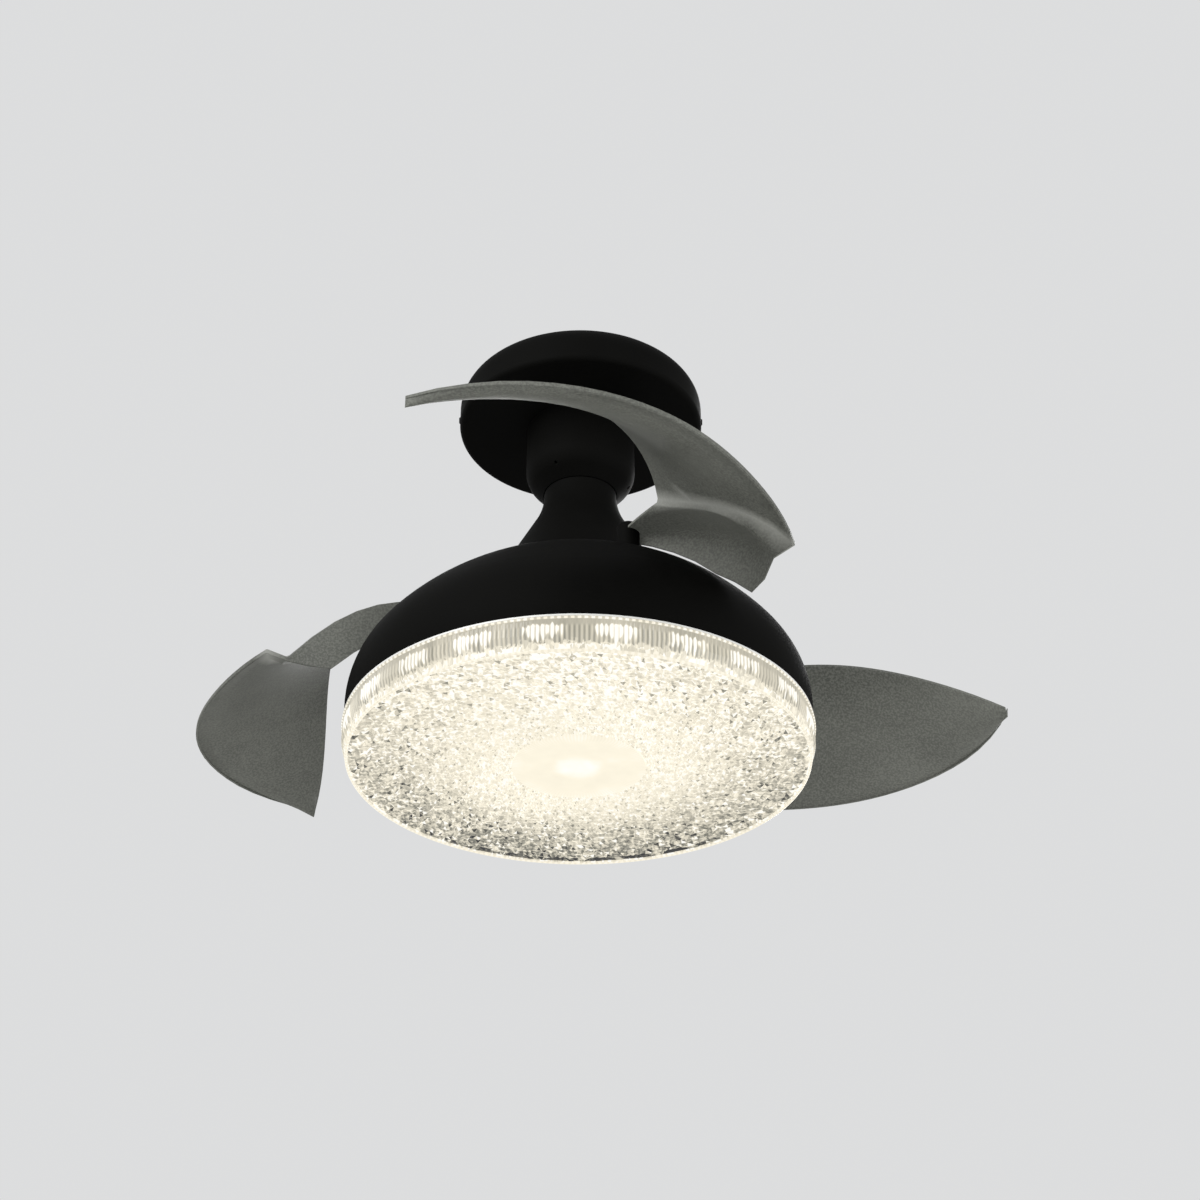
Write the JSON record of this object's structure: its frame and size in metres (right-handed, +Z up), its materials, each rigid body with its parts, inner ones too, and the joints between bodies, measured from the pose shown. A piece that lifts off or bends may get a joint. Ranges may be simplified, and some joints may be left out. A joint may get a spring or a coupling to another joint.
{
  "type": "retractable blade ceiling fan",
  "caption": "Ceiling fan with a domed black body, a faceted round lamp below it and smoky clear blades that swing out to run and fold away over the dome.",
  "frame": {"origin": "centre of the bracket face that meets the ceiling", "axes": "+Z up, square to the ceiling, along the fan's spin axis; +X along the bracket bar; the pictured side faces -Y"},
  "size_m": [0.9197, 0.8646, 0.49],
  "materials": {
    "black_body": "matt black, fine satin grain",
    "black_paint": "matt black powder coat",
    "zinc_steel": "zinc plated",
    "dark_casting": "dark cast aluminium",
    "smoked_blade": "smoky clear plastic, satin",
    "clear_diffuser": "clear faceted plastic, lit",
    "white_plastic": "white",
    "cream_plastic": "natural gear plastic",
    "dark_plastic": "dark grey",
    "lens_plastic": "clear lens, lit",
    "white_paint": "white painted sheet",
    "copper": "enamelled copper wire",
    "bronze": "sintered bronze",
    "magnet": "dark grey",
    "rubber": "black",
    "steel": "ground steel"
  },
  "bodies": {
    "ceiling_and_lamp": {"ceiling_bracket": "zinc_steel", "canopy": "black_body", "canopy_screws": "black_paint", "neck_collar": "black_body", "collar_nuts": "zinc_steel", "downrod": "black_paint", "rod_pins": "zinc_steel", "receiver_box": "white_plastic", "terminal_block": "white_plastic", "neck_cover": "black_body", "neck_spacer": "dark_plastic", "motor_shaft": "steel", "stator_core": "steel", "stator_coils": "copper", "bearing_inner_races": "steel", "shaft_clips": "steel", "lamp_hub": "dark_casting", "lamp_hub_nut": "zinc_steel", "lamp_pan": "white_paint", "pan_screws": "zinc_steel", "led_driver": "white_plastic", "outer_led_board": "white_plastic", "outer_led_lenses": "lens_plastic", "inner_led_board": "white_plastic", "inner_led_lenses": "lens_plastic", "diffuser": "clear_diffuser", "diffuser_clips": "zinc_steel", "clip_screws": "zinc_steel"},
    "rotor": {"rotor_cup": "dark_casting", "rotor_lid": "dark_casting", "rotor_magnets": "magnet", "bearing_outer_races": "steel", "bearing_balls": "steel", "rotor_screws": "zinc_steel", "blade_carrier": "dark_casting", "carrier_screws": "zinc_steel", "pivot_bushes": "bronze", "return_springs": "steel", "blade_stops": "rubber", "dome_cover": "black_body", "dome_posts": "zinc_steel", "dome_screws": "black_paint"},
    "timing_ring": {"sync_ring": "cream_plastic"},
    "folding_blade_1": {"blade_1": "smoked_blade", "blade_1_pivot": "black_paint", "blade_1_gear": "cream_plastic", "blade_1_gear_screw": "zinc_steel"},
    "folding_blade_2": {"blade_2": "smoked_blade", "blade_2_pivot": "black_paint", "blade_2_gear": "cream_plastic", "blade_2_gear_screw": "zinc_steel"},
    "folding_blade_3": {"blade_3": "smoked_blade", "blade_3_pivot": "black_paint", "blade_3_gear": "cream_plastic", "blade_3_gear_screw": "zinc_steel"}
  },
  "joints": [
    {"name": "fan_spin", "type": "hinge", "parent": "ceiling_and_lamp", "child": "rotor", "pos_m": [0, 0, -0.37], "axis": [0, 0, 1], "continuous": true},
    {"name": "blade_1_fold", "type": "hinge", "parent": "rotor", "child": "folding_blade_1", "pos_m": [0.05007, -0.1414, -0.3], "axis": [0, 0, 1], "range_deg": [-100, 0]},
    {"name": "blade_2_fold", "type": "hinge", "parent": "rotor", "child": "folding_blade_2", "pos_m": [0.09742, 0.11406, -0.3], "axis": [0, 0, 1], "range_deg": [-100, 0]},
    {"name": "blade_3_fold", "type": "hinge", "parent": "rotor", "child": "folding_blade_3", "pos_m": [-0.14749, 0.02734, -0.3], "axis": [0, 0, 1], "range_deg": [-100, 0]},
    {"name": "sync_ring_turn", "type": "hinge", "parent": "rotor", "child": "timing_ring", "pos_m": [0, 0, -0.35], "axis": [0, 0, 1], "range_deg": [-0.1, 33.4]}
  ],
  "couplings": [
    {"joint": "blade_2_fold", "follows": "blade_1_fold", "ratio": 1},
    {"joint": "blade_3_fold", "follows": "blade_1_fold", "ratio": 1},
    {"joint": "sync_ring_turn", "follows": "blade_1_fold", "ratio": -0.33333}
  ]
}
